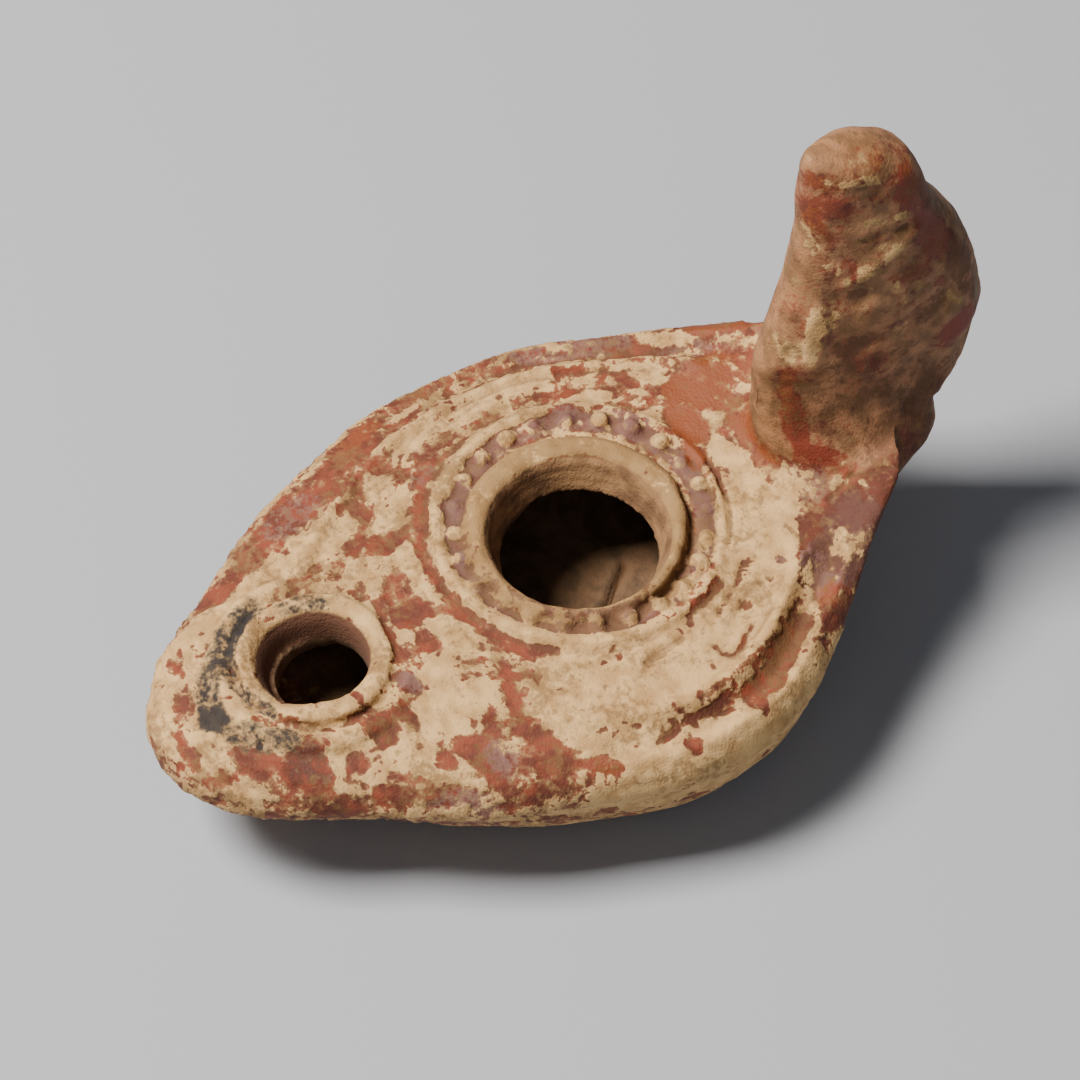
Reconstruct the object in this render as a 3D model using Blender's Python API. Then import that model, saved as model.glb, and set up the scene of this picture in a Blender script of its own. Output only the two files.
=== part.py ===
"""Oil lamp of fired clay, pressed in two moulds and joined at the seam.

An almond-shaped hollow body has a filling hole in a raised rim, a ring of
beads between two ridges, a nozzle with a collared wick hole, and a tall lug
handle pinched up from the clay at the back.

Metres, +Z up, +Y towards the handle and -Y towards the nozzle. The origin is
the centre of the flat foot, on its underside, straight below the filling hole.
Heights named RISE are measured upwards from the seam, and DROP downwards.
"""

import math
from bisect import bisect_right

import bmesh
import bpy
from mathutils import Matrix, Vector

# Body as seen from above: three circles on the lamp's axis, as (place along Y,
# radius), with straight flanks drawn against them. At the back the seam sweeps
# up by TAIL_LIFT to the handle, and dies away over the angle TAIL_SPREAD. The
# body's axis passes a little to the left of the filling hole, at AXIS_X. It was
# trimmed by hand: SWELL is how far it stands out, by degrees from the handle.
SEAM_HEIGHT = 0.0170
AXIS_X = -0.0004
NOZZLE_ROUND = (-0.0397, 0.0159)
BELLY_ROUND = (-0.0020, 0.0330)
BACK_ROUND = (0.0100, 0.0267)
SWELL = [(-180, 0.0004), (-165, -0.0004), (-143, 0.0016), (-122, 0.0006), (-95, -0.0012),
         (-50, 0.0009), (-28, 0.0013), (-14, 0.0022), (0, 0.0026), (19, 0.0022), (28, 0.0),
         (38, -0.0006), (62, 0.0006), (90, 0.0), (113, -0.0010), (138, 0.0007), (160, -0.0003),
         (180, 0.0004)]
TAIL_LIFT = 0.0150
TAIL_SPREAD = math.radians(38)
AROUND = 88

# Filling hole, its upright rim, the bead band and the ridge round the band. The
# hole was cut a little off the middle of the moulded rings. Its neck narrows
# downwards from LIP to THROAT, and its cut runs on by NECK_PAST above and below.
# The section runs outwards over the rim and the rings. Both are given as
# (X, Y, radius, rise).
FILL_LIP = (0.0, -0.0006, 0.0110, 0.0081)
FILL_THROAT = (0.0, -0.0006, 0.0094, 0.0030)
RIM_RISE = 0.0081
BAND_RISE = 0.0062
BAND_CENTRE = (-0.0019, 0.0009)
BAND_RADIUS = 0.0150
TOP_SECTION = [(0.0, -0.0006, 0.0098, 0.0066), (0.0, -0.0006, 0.0113, 0.0078),
               (-0.0004, -0.0006, 0.0120, RIM_RISE), (-0.0008, -0.0004, 0.0128, 0.0075),
               (-0.0010, -0.0002, 0.0134, BAND_RISE), (*BAND_CENTRE, BAND_RADIUS, BAND_RISE),
               (*BAND_CENTRE, 0.0161, BAND_RISE), (-0.0018, 0.0008, 0.0171, 0.0071),
               (-0.0016, 0.0007, 0.0181, BAND_RISE)]
BEAD_COUNT = 24
BEAD_RADIUS = 0.00105
BEAD_SINK = 0.00016
NECK_SIDES = 40
NECK_PAST = 0.0030

# Nozzle: the wick hole with its collar and a lower ring outside it. The hole
# narrows downwards too, and leans into the body.
WICK_Y = -0.0355
WICK_LIP = (0.0, WICK_Y, 0.0062, 0.0072)
WICK_THROAT = (0.0003, -0.0346, 0.0053, -0.0002)
COLLAR_RADIUS = 0.0077
COLLAR_WIDTH = 0.0028
COLLAR_RISE = 0.0072
RING_RADIUS = 0.0113
RING_WIDTH = 0.0026
RING_RISE = 0.0060
RING_AROUND = 36
RING_SIDES = 8
NOZZLE_RISE = 0.0058

# Shoulder, from the smooth band out to the seam. Distances run inwards from
# the outline: the third ridge, the channel outside it and the rolled edge. The
# angles, from the handle's side, are where each starts and where it wears away.
SHOULDER_RISE = 0.0051
SHOULDER_REACH = 0.0090
BACK_RISE = 0.0034
THIRD_RIDGE_IN = [(0, 0.0072), (60, 0.0068), (100, 0.0070), (150, 0.0090), (180, 0.0088)]
THIRD_RIDGE_HEIGHT = 0.0011
THIRD_RIDGE_WIDTH = 0.0024
THIRD_RIDGE_WORN = 0.5
CHANNEL_IN = 0.0043
CHANNEL_DEPTH = 0.0013
CHANNEL_WIDTH = 0.0044
EDGE_IN = 0.0019
EDGE_BEAD = 0.0007
EDGE_WIDTH = 0.0026
DETAIL_STARTS = (0.30, 0.55)
RIDGE_WEARS = (1.50, 2.10)
CHANNEL_CLOSES = (1.50, 2.20)
NOZZLE_LEVELS = (2.10, 2.80)
BAND_PARTS = (0.3, 0.65)
SHOULDER_CURVE = 2.2

# Lower half: a bowl that curves in to a round flat foot. Under the nozzle its
# side falls later, by NOZZLE_HOLLOW, so that the nozzle's underside slopes.
EDGE_IN_BELOW = 0.0009
EDGE_DROP = 0.0027
FOOT_RADIUS = 0.0180
FOOT_HEIGHT = 0.0010
BOWL_STEPS = 6
BOWL_TURN = math.radians(80)
BOWL_NOZZLE = (1.90, 2.90)
NOZZLE_HOLLOW = 0.6

# Chamber inside: its distance inside the outline by angle from the handle, its
# roof and its floor. The distance grows at the back, where the bowl draws in
# under the handle. The roof's rings are (drop below the roof, distance further in).
CHAMBER_IN = [(0, 0.0105), (10, 0.0102), (20, 0.0093), (30, 0.0079), (45, 0.0058), (60, 0.0050),
              (90, 0.0048), (150, 0.0052), (180, 0.0095)]
ROOF_RINGS = [(0.0, 0.0085), (0.0009, 0.0050), (0.0028, 0.0016)]
ROOF_RISE = 0.0030
NOZZLE_ROOF_RISE = -0.0004
ROOF_LOWERS = (125, 160)
FLOOR_NOZZLE = (110, 165)
FLOOR_DROP = 0.0125
FLOOR_RADIUS = 0.0140
CHAMBER_WIDEST_DROP = 0.0040
CHAMBER_AROUND = 48
CHAMBER_STEPS = 5

# Handle, as (rise above the seam, size): its front and back edges along Y,
# and half its thickness along X. It leans a little to one side, its front is
# narrower than its back, its foot flares out into the body's back, and a dome
# closes it that sits a little forwards.
HANDLE_FRONT = [(-0.012, 0.0190), (0.004, 0.0243), (0.010, 0.0240), (0.018, 0.0228),
                (0.026, 0.0240), (0.036, 0.0272), (0.044, 0.0284)]
HANDLE_BACK = [(-0.012, 0.0262), (-0.006, 0.0350), (0.003, 0.0412), (0.008, 0.0462),
               (0.012, 0.0472), (0.016, 0.0514), (0.023, 0.0530), (0.030, 0.0519),
               (0.036, 0.0499), (0.040, 0.0479), (0.044, 0.0450)]
HANDLE_HALF = [(-0.012, 0.0060), (-0.002, 0.0104), (0.004, 0.0116), (0.008, 0.0114),
               (0.012, 0.0106), (0.016, 0.0088), (0.022, 0.0083), (0.036, 0.0080), (0.044, 0.0072)]
HANDLE_TOP_RISE = 0.0569
HANDLE_LEAN = -0.0020
HANDLE_STEPS = 14
HANDLE_DOME_STEPS = 5
HANDLE_SIDES = 20
HANDLE_FRONT_SHARE = 0.68
HANDLE_FLATNESS = 0.85
DOME_FORWARD = 0.95
DOME_FULLNESS = 2.15
DOME_END = 0.15

FIRED_CLAY = (0.47, 0.24, 0.14, 1.0)
CLAY_ROUGHNESS = 0.75
SMOOTH_BELOW = math.radians(50)


def through(knots, place):
    """Read a smooth curve that passes through the (place, value) knots."""
    places = [knot[0] for knot in knots]
    values = [knot[1] for knot in knots]
    last = len(knots) - 1
    place = min(max(place, places[0]), places[last])
    index = min(bisect_right(places, place) - 1, last - 1)

    def slope(knot):
        low, high = max(knot - 1, 0), min(knot + 1, last)
        return (values[high] - values[low]) / (places[high] - places[low])

    span = places[index + 1] - places[index]
    part = (place - places[index]) / span
    start = (1 + 2 * part) * (1 - part) ** 2 * values[index]
    finish = part ** 2 * (3 - 2 * part) * values[index + 1]
    leave = part * (1 - part) ** 2 * span * slope(index)
    arrive = part ** 2 * (part - 1) * span * slope(index + 1)
    return start + finish + leave + arrive


def smooth_step(value):
    """Go from 0 to 1 with level ends."""
    value = min(max(value, 0.0), 1.0)
    return value * value * (3 - 2 * value)


def between(value, limits):
    """Go smoothly from 0 to 1 as a value passes from one limit to the other."""
    return smooth_step((value - limits[0]) / (limits[1] - limits[0]))


def bump(distance, width):
    """A rounded ridge, 1 high in the middle and gone at half its width."""
    reach = abs(distance) / (width / 2)
    return math.cos(reach * math.pi / 2) ** 2 if reach < 1 else 0.0


def outside_flank(x, y, first, second):
    """Distance outside two circles on the axis and the tangents that join them."""
    spacing = second[0] - first[0]
    x = abs(x)
    y = y - first[0]
    lean = (first[1] - second[1]) / spacing
    straight = math.sqrt(1 - lean * lean)
    along = straight * y - lean * x
    if along < 0:
        return math.hypot(x, y) - first[1]
    if along > straight * spacing:
        return math.hypot(x, y - spacing) - second[1]
    return straight * x + lean * y - first[1]


def inset_radius(turn, inset):
    """Radius of the line that runs round the body a distance inside its outline."""
    swell = through(SWELL, math.degrees(math.remainder(turn, 2 * math.pi)))
    inner, outer = 0.0, 0.0800
    for _ in range(26):
        radius = (inner + outer) / 2
        x = radius * math.sin(turn) - AXIS_X
        y = radius * math.cos(turn)
        distance = min(outside_flank(x, y, NOZZLE_ROUND, BELLY_ROUND),
                       outside_flank(x, y, BELLY_ROUND, BACK_ROUND))
        if distance + inset > swell:
            outer = radius
        else:
            inner = radius
    return inner


def from_handle(turn):
    """Angle from the handle's side of the body, the same on the left and right."""
    return abs(math.remainder(turn, 2 * math.pi))


def polar(radius, turn, height):
    """A point by radius and angle about the filling hole's axis."""
    return Vector((radius * math.sin(turn), radius * math.cos(turn), height))


def skin(name, rings):
    """Close a mesh round rings of points, listed from its top to its bottom."""
    mesh_data = bmesh.new()
    loops = [[mesh_data.verts.new(point) for point in ring] for ring in rings]
    for upper, lower in zip(loops, loops[1:]):
        count = len(upper)
        for i in range(count):
            j = (i + 1) % count
            mesh_data.faces.new((upper[i], upper[j], lower[j], lower[i]))
    mesh_data.faces.new(reversed(loops[0]))
    mesh_data.faces.new(loops[-1])
    bmesh.ops.recalc_face_normals(mesh_data, faces=mesh_data.faces)
    mesh = bpy.data.meshes.new(name)
    mesh_data.to_mesh(mesh)
    mesh_data.free()
    solid = bpy.data.objects.new(name, mesh)
    bpy.context.collection.objects.link(solid)
    return solid


def ridge_strength(turn):
    """The third ridge is crisp beside the handle and worn towards the nozzle."""
    angle = from_handle(turn)
    return between(angle, DETAIL_STARTS) * (1 - THIRD_RIDGE_WORN * between(angle, RIDGE_WEARS))


def channel_strength(turn):
    """The channel is open along the back half and closes towards the nozzle."""
    angle = from_handle(turn)
    return between(angle, DETAIL_STARTS) * (1 - between(angle, CHANNEL_CLOSES))


def tail_lift(turn):
    """How far the seam is swept up towards the handle."""
    return TAIL_LIFT * math.exp(-(from_handle(turn) / TAIL_SPREAD) ** 2)


def shoulder_height(turn, inset):
    """Rise of the shoulder above the seam at a distance inside the outline."""
    lift = tail_lift(turn)
    top = SHOULDER_RISE + BACK_RISE * lift / TAIL_LIFT
    part = min(inset / SHOULDER_REACH, 1)
    if top > lift:
        fall = math.sqrt(1 - (1 - part) ** SHOULDER_CURVE)
    else:
        fall = smooth_step(part)
    ridge = inset - through(THIRD_RIDGE_IN, math.degrees(from_handle(turn)))
    rise = lift + (top - lift) * fall
    rise += ridge_strength(turn) * THIRD_RIDGE_HEIGHT * bump(ridge, THIRD_RIDGE_WIDTH)
    rise -= channel_strength(turn) * CHANNEL_DEPTH * bump(inset - CHANNEL_IN, CHANNEL_WIDTH)
    rise += channel_strength(turn) * EDGE_BEAD * bump(inset - EDGE_IN, EDGE_WIDTH)
    return rise


def shoulder_point(turn, inset):
    """A point of the shoulder, by angle and distance inside the outline."""
    return polar(inset_radius(turn, inset), turn, SEAM_HEIGHT + shoulder_height(turn, inset))


def roof_rings():
    """Rings of the mould's upper half, from the filling hole to the seam."""
    turns = [2 * math.pi * i / AROUND for i in range(AROUND)]
    rings = []
    for x, y, radius, rise in TOP_SECTION:
        rings.append([polar(radius, turn, SEAM_HEIGHT + rise) + Vector((x, y, 0))
                      for turn in turns])
    foot = rings[-1]
    half = THIRD_RIDGE_WIDTH / 2
    ridges = [through(THIRD_RIDGE_IN, math.degrees(from_handle(turn))) for turn in turns]
    for part in BAND_PARTS:
        ring = []
        for start, turn, ridge in zip(foot, turns, ridges):
            point = start.lerp(shoulder_point(turn, ridge + half), part)
            nozzle = between(from_handle(turn), NOZZLE_LEVELS)
            point.z += nozzle * (SEAM_HEIGHT + NOZZLE_RISE - point.z)
            ring.append(point)
        rings.append(ring)
    for offset in (half, 0, -half):
        rings.append([shoulder_point(turn, ridge + offset) for turn, ridge in zip(turns, ridges)])
    for inset in (CHANNEL_IN, (CHANNEL_IN + EDGE_IN) / 2, EDGE_IN, EDGE_IN / 3, 0.0):
        rings.append([shoulder_point(turn, inset) for turn in turns])
    return rings


def bowl_rings():
    """Rings of the mould's lower half, from the seam to the foot."""
    turns = [2 * math.pi * i / AROUND for i in range(AROUND)]
    rings = []
    for inset, drop in ((0.0, EDGE_DROP / 2), (EDGE_IN_BELOW, EDGE_DROP)):
        rings.append([polar(inset_radius(turn, inset), turn,
                            SEAM_HEIGHT + tail_lift(turn) - drop) for turn in turns])
    foot_cosine = math.cos(BOWL_TURN)
    for step in range(1, BOWL_STEPS + 1):
        angle = BOWL_TURN * step / BOWL_STEPS
        spread = (math.cos(angle) - foot_cosine) / (1 - foot_cosine)
        ring = []
        for turn in turns:
            nozzle = between(from_handle(turn), BOWL_NOZZLE)
            fall = (math.sin(angle) / math.sin(BOWL_TURN)) ** (1 + NOZZLE_HOLLOW * nozzle)
            edge_height = SEAM_HEIGHT + tail_lift(turn) - EDGE_DROP
            edge_radius = inset_radius(turn, EDGE_IN_BELOW)
            radius = FOOT_RADIUS + spread * (edge_radius - FOOT_RADIUS)
            ring.append(polar(radius, turn, edge_height + fall * (FOOT_HEIGHT - edge_height)))
        rings.append(ring)
    rings.append([polar(FOOT_RADIUS - FOOT_HEIGHT / 2, turn, 0.0) for turn in turns])
    return rings


def chamber():
    """The oil chamber's space, which follows the outline inside the wall."""
    turns = [2 * math.pi * i / CHAMBER_AROUND for i in range(CHAMBER_AROUND)]
    rings = []
    for drop, extra in ROOF_RINGS:
        ring = []
        for turn in turns:
            degrees = math.degrees(from_handle(turn))
            nozzle = between(degrees, ROOF_LOWERS)
            top = ROOF_RISE + nozzle * (NOZZLE_ROOF_RISE - ROOF_RISE)
            inset = through(CHAMBER_IN, degrees) + extra
            ring.append(polar(inset_radius(turn, inset), turn, SEAM_HEIGHT + top - drop))
        rings.append(ring)
    widest = SEAM_HEIGHT - CHAMBER_WIDEST_DROP
    floor = SEAM_HEIGHT - FLOOR_DROP
    for step in range(CHAMBER_STEPS + 1):
        angle = math.pi / 2 * step / CHAMBER_STEPS
        ring = []
        for turn in turns:
            degrees = math.degrees(from_handle(turn))
            nozzle = between(degrees, FLOOR_NOZZLE)
            outer = inset_radius(turn, through(CHAMBER_IN, degrees))
            radius = FLOOR_RADIUS + math.cos(angle) * (outer - FLOOR_RADIUS)
            fall = math.sin(angle) ** (1 + NOZZLE_HOLLOW * nozzle)
            ring.append(polar(radius, turn, widest + fall * (floor - widest)))
        rings.append(ring)
    return skin("chamber_space", rings)


def neck(name, lip, throat):
    """The bore of a hole, from well above its lip down through its throat."""
    rings = []
    for rise in (lip[-1] + NECK_PAST, throat[-1] - NECK_PAST):
        part = (rise - throat[-1]) / (lip[-1] - throat[-1])
        x, y, radius, _ = (low + part * (high - low) for low, high in zip(throat, lip))
        rings.append([polar(radius, 2 * math.pi * i / NECK_SIDES, SEAM_HEIGHT + rise)
                      + Vector((x, y, 0)) for i in range(NECK_SIDES)])
    return skin(name, rings)


def turned_ring(name, y, radius, width, rise):
    """A rounded ring of clay lying on the roof, its lower half sunk in it."""
    mesh_data = bmesh.new()
    centre = Vector((0, y + radius, SEAM_HEIGHT + rise - width / 2))
    edge = [centre + Vector((0, width / 2 * math.cos(a), width / 2 * math.sin(a)))
            for a in (2 * math.pi * i / RING_SIDES for i in range(RING_SIDES))]
    verts = [mesh_data.verts.new(point) for point in edge]
    edges = [mesh_data.edges.new((verts[i - 1], verts[i])) for i in range(RING_SIDES)]
    bmesh.ops.spin(mesh_data, geom=verts + edges, cent=(0, y, 0), axis=(0, 0, 1),
                   angle=2 * math.pi, steps=RING_AROUND, use_merge=True)
    bmesh.ops.remove_doubles(mesh_data, verts=mesh_data.verts, dist=0.00001)
    bmesh.ops.recalc_face_normals(mesh_data, faces=mesh_data.faces)
    mesh = bpy.data.meshes.new(name)
    mesh_data.to_mesh(mesh)
    mesh_data.free()
    ring = bpy.data.objects.new(name, mesh)
    bpy.context.collection.objects.link(ring)
    return ring


def beads():
    """The ring of moulded beads, each half sunk in the bead band."""
    mesh_data = bmesh.new()
    for i in range(BEAD_COUNT):
        turn = 2 * math.pi * (i + 0.5) / BEAD_COUNT
        place = polar(BAND_RADIUS, turn, SEAM_HEIGHT + BAND_RISE - BEAD_SINK)
        place += Vector((*BAND_CENTRE, 0))
        spot = Matrix.Translation(place) @ Matrix.Rotation(-turn, 4, "Z")
        bmesh.ops.create_icosphere(mesh_data, subdivisions=1, radius=BEAD_RADIUS,
                                   matrix=spot)
    mesh = bpy.data.meshes.new("beads")
    mesh_data.to_mesh(mesh)
    mesh_data.free()
    ring = bpy.data.objects.new("beads", mesh)
    bpy.context.collection.objects.link(ring)
    return ring


def handle_section(rise):
    """One level cut through the handle: a blunt front and a fuller back."""
    dome_foot = HANDLE_FRONT[-1][0]
    crown = max(0.0, (rise - dome_foot) / (HANDLE_TOP_RISE - dome_foot))
    shrink = max(math.sqrt(max(0.0, 1 - crown ** DOME_FULLNESS)), DOME_END)
    front = through(HANDLE_FRONT, rise)
    back = through(HANDLE_BACK, rise)
    half = through(HANDLE_HALF, rise) * shrink
    length = (back - front) / 2
    middle = (front + back) / 2 - DOME_FORWARD * (1 - shrink) * length
    lean = HANDLE_LEAN * smooth_step(rise / HANDLE_TOP_RISE)
    points = []
    for i in range(HANDLE_SIDES):
        turn = 2 * math.pi * i / HANDLE_SIDES
        along = math.cos(turn)
        across = math.copysign(abs(math.sin(turn)) ** HANDLE_FLATNESS, math.sin(turn))
        across *= 1 - (1 - HANDLE_FRONT_SHARE) * (1 - along) / 2
        points.append(Vector((lean + half * across, middle + length * shrink * along,
                              SEAM_HEIGHT + rise)))
    return points


def handle():
    """The lug handle, drawn up level by level from inside the body's back."""
    bottom = HANDLE_FRONT[0][0]
    dome_foot = HANDLE_FRONT[-1][0]
    rises = [bottom + (dome_foot - bottom) * i / HANDLE_STEPS for i in range(HANDLE_STEPS + 1)]
    for i in range(1, HANDLE_DOME_STEPS + 1):
        up = math.sin(math.pi / 2 * i / HANDLE_DOME_STEPS)
        rises.append(dome_foot + (HANDLE_TOP_RISE - dome_foot) * up)
    return skin("handle", [handle_section(rise) for rise in reversed(rises)])


def combine(target, operation, cutter):
    """Add a Boolean step, and hide the shape that it uses."""
    step = target.modifiers.new(cutter.name, "BOOLEAN")
    step.operation = operation
    step.solver = "EXACT"
    step.object = cutter
    cutter.hide_render = True
    cutter.display_type = "WIRE"


def clay():
    """Brick-red fired clay with a worn slip."""
    material = bpy.data.materials.new("fired_clay")
    material.use_nodes = True
    surface = material.node_tree.nodes["Principled BSDF"]
    surface.inputs["Base Color"].default_value = FIRED_CLAY
    surface.inputs["Roughness"].default_value = CLAY_ROUGHNESS
    surface.inputs["Metallic"].default_value = 0
    return material


def lamp():
    """The whole lamp, one piece of fired clay."""
    body = skin("lamp_body", roof_rings() + bowl_rings())
    combine(body, "UNION", handle())
    combine(body, "UNION", turned_ring("wick_collar", WICK_Y, COLLAR_RADIUS,
                                       COLLAR_WIDTH, COLLAR_RISE))
    combine(body, "UNION", turned_ring("wick_ring", WICK_Y, RING_RADIUS,
                                       RING_WIDTH, RING_RISE))
    combine(body, "UNION", beads())
    combine(body, "DIFFERENCE", chamber())
    combine(body, "DIFFERENCE", neck("filling_neck", FILL_LIP, FILL_THROAT))
    combine(body, "DIFFERENCE", neck("wick_neck", WICK_LIP, WICK_THROAT))
    body.data.materials.append(clay())
    body.data.shade_smooth()
    body.data.set_sharp_from_angle(angle=SMOOTH_BELOW)
    return body


for old in list(bpy.data.objects):
    bpy.data.objects.remove(old)
lamp()
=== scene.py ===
import math

import bmesh
import bpy
import numpy as np
from mathutils import Matrix, Vector, noise
from mathutils.bvhtree import BVHTree


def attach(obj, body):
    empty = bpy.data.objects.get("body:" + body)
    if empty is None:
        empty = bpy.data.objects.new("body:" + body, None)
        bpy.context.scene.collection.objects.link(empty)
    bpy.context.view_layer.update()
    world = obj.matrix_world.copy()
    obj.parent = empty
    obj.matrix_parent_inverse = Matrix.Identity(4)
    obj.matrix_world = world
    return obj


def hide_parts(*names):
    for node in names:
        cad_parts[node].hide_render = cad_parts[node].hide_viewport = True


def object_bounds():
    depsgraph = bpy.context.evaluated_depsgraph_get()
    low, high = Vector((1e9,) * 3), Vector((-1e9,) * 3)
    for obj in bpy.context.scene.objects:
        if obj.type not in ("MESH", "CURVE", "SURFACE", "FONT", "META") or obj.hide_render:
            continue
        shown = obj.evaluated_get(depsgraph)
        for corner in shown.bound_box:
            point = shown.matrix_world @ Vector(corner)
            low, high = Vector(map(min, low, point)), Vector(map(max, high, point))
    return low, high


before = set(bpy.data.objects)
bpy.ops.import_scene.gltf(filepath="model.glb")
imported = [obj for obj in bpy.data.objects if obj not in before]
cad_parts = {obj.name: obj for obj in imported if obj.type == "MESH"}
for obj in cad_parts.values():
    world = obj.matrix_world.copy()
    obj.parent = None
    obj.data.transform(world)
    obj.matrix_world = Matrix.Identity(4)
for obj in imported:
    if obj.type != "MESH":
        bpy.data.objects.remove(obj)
solid_low, solid_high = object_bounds()


# Bead ring. Small round beads of clay, pressed with the roof from one mould,
# stand round the filling hole. The mould was worn and the beads came out uneven.
BEAD_COUNT = 24
BEAD_RING_RADIUS = 0.0150
BEAD_CENTRE = (-0.0019, 0.0009, 0.0235)
BEAD_RADIUS = 0.00122
BEAD_UNEVENNESS = 0.45
BEAD_LARGEST = 1.1
BEAD_ROUNDNESS = 2
BEAD_SEED = 4
BEAD_START = math.radians(7.5)


def add_node(tree, kind, settings=None, inputs=None):
    """Add a node, set its properties, and set or link its inputs."""
    node = tree.nodes.new(kind)
    for name, value in (settings or {}).items():
        setattr(node, name, value)
    for name, value in (inputs or {}).items():
        if isinstance(value, bpy.types.NodeSocket):
            tree.links.new(value, node.inputs[name])
        else:
            node.inputs[name].default_value = value
    return node


def bead_tree(clay):
    """Beads set on a circle, each of its own size, as one real mesh."""
    tree = bpy.data.node_groups.new("bead ring", "GeometryNodeTree")
    sockets = {}
    for name, kind in (("Count", "NodeSocketInt"), ("Ring Radius", "NodeSocketFloat"),
                       ("Bead Radius", "NodeSocketFloat"), ("Centre", "NodeSocketVector"),
                       ("Unevenness", "NodeSocketFloat")):
        sockets[name] = tree.interface.new_socket(name, in_out="INPUT", socket_type=kind).identifier
    tree.interface.new_socket("Beads", in_out="OUTPUT", socket_type="NodeSocketGeometry")
    given = add_node(tree, "NodeGroupInput").outputs
    ring = add_node(tree, "GeometryNodeMeshCircle", None,
                    {"Vertices": given["Count"], "Radius": given["Ring Radius"]})
    bead = add_node(tree, "GeometryNodeMeshIcoSphere", None,
                    {"Radius": given["Bead Radius"], "Subdivisions": BEAD_ROUNDNESS})
    smallest = add_node(tree, "ShaderNodeMath", {"operation": "SUBTRACT"},
                        {0: 1.0, 1: given["Unevenness"]})
    size = add_node(tree, "FunctionNodeRandomValue", {"data_type": "FLOAT"},
                    {2: smallest.outputs[0], 3: BEAD_LARGEST, "Seed": BEAD_SEED})
    place = add_node(tree, "GeometryNodeInstanceOnPoints", None,
                     {"Points": ring.outputs["Mesh"], "Instance": bead.outputs["Mesh"],
                      "Scale": size.outputs[1]})
    raise_up = add_node(tree, "GeometryNodeTransform", None,
                        {"Geometry": place.outputs[0], "Translation": given["Centre"],
                         "Rotation": (0.0, 0.0, BEAD_START)})
    real = add_node(tree, "GeometryNodeRealizeInstances", None, {0: raise_up.outputs[0]})
    coat = add_node(tree, "GeometryNodeSetMaterial", None, {0: real.outputs[0], "Material": clay})
    add_node(tree, "NodeGroupOutput", None, {"Beads": coat.outputs[0]})
    return tree, sockets


earthenware = bpy.data.materials.new("slip-coated earthenware, buried and worn")
tree, sockets = bead_tree(earthenware)
bead_holder = bpy.data.objects.new("bead holder", bpy.data.meshes.new("bead holder"))
bpy.context.collection.objects.link(bead_holder)
maker = bead_holder.modifiers.new("beads", "NODES")
maker.node_group = tree
maker[sockets["Count"]] = BEAD_COUNT
maker[sockets["Ring Radius"]] = BEAD_RING_RADIUS
maker[sockets["Bead Radius"]] = BEAD_RADIUS
maker[sockets["Centre"]] = BEAD_CENTRE
maker[sockets["Unevenness"]] = BEAD_UNEVENNESS
ready = bead_holder.evaluated_get(bpy.context.evaluated_depsgraph_get())
bead_mesh = bpy.data.meshes.new_from_object(ready)
bpy.data.objects.remove(bead_holder)


# Body and handle. One piece of brick-red earthenware: two mould halves pressed
# together, then a lug handle drawn up and pinched by hand. The solid is skinned
# with an even fine mesh and softened, as pressed and handled clay is.
SAME_POINT = 0.000001
SKIN_STEP = 0.00041
SOFTEN_STEPS = 3
MM = 1000.0

# The chamber and the underside keep only a share of their faces. A point is in
# the chamber where a ray from it, started clear of its own wall, meets another
# wall. Levels and the floor's circles (right, towards handle, radius) are in
# millimetres, the ray's lengths in metres.
CHAMBER_TOP = 20.2
CHAMBER_REACH = 0.070
CLEAR_OF_WALL = 0.0003
FLOOR_LEVELS = (2.5, 9.0)
WHOLE_FLOOR = (0.0, 0.0, 13.0)
FLOOR_IN_SIGHT = (-2.5, 5.5, 6.5)
PLAIN_BELOW = 12.0
PLAIN_LEFT = 0.10
PLAIN_WEIGHT = 1000


def clean_copy():
    """A closed copy of the solid, together with the beads."""
    mesh = bpy.data.meshes.new("lamp")
    shell = bmesh.new()
    shell.from_mesh(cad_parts["lamp_body"].data)
    bmesh.ops.remove_doubles(shell, verts=shell.verts, dist=SAME_POINT)
    shell.from_mesh(bead_mesh)
    shell.to_mesh(mesh)
    shell.free()
    return mesh


def settle(piece):
    """Turn a piece's modifiers into its mesh."""
    ready = piece.evaluated_get(bpy.context.evaluated_depsgraph_get())
    mesh = bpy.data.meshes.new_from_object(ready)
    piece.modifiers.clear()
    piece.data = mesh


def read_points(mesh):
    """Vertex places and outward directions, in millimetres."""
    points = np.zeros(len(mesh.vertices) * 3)
    mesh.vertices.foreach_get("co", points)
    facing = np.zeros(len(mesh.vertices) * 3)
    mesh.vertex_normals.foreach_get("vector", facing)
    return points.reshape(-1, 3) * MM, facing.reshape(-1, 3)


def on_floor(points, across, along, reach):
    """Which vertices lie on the chamber's floor, within a circle."""
    near = np.hypot(points[:, 0] - across, points[:, 1] - along) < reach
    return near & (points[:, 2] > FLOOR_LEVELS[0]) & (points[:, 2] < FLOOR_LEVELS[1])


def find_inside(piece):
    """Which vertices lie in the chamber: low ones that face another wall, or its floor."""
    points, facing = read_points(piece.data)
    walls = BVHTree.FromObject(piece, bpy.context.evaluated_depsgraph_get())
    inside = np.zeros(len(points))
    for i in np.flatnonzero(points[:, 2] < CHAMBER_TOP):
        out = Vector(facing[i])
        start = Vector(points[i] / MM) + out * CLEAR_OF_WALL
        if walls.ray_cast(start, out, CHAMBER_REACH)[0] is not None:
            inside[i] = 1.0
    inside[on_floor(points, *WHOLE_FLOOR)] = 1.0
    return inside


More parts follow.
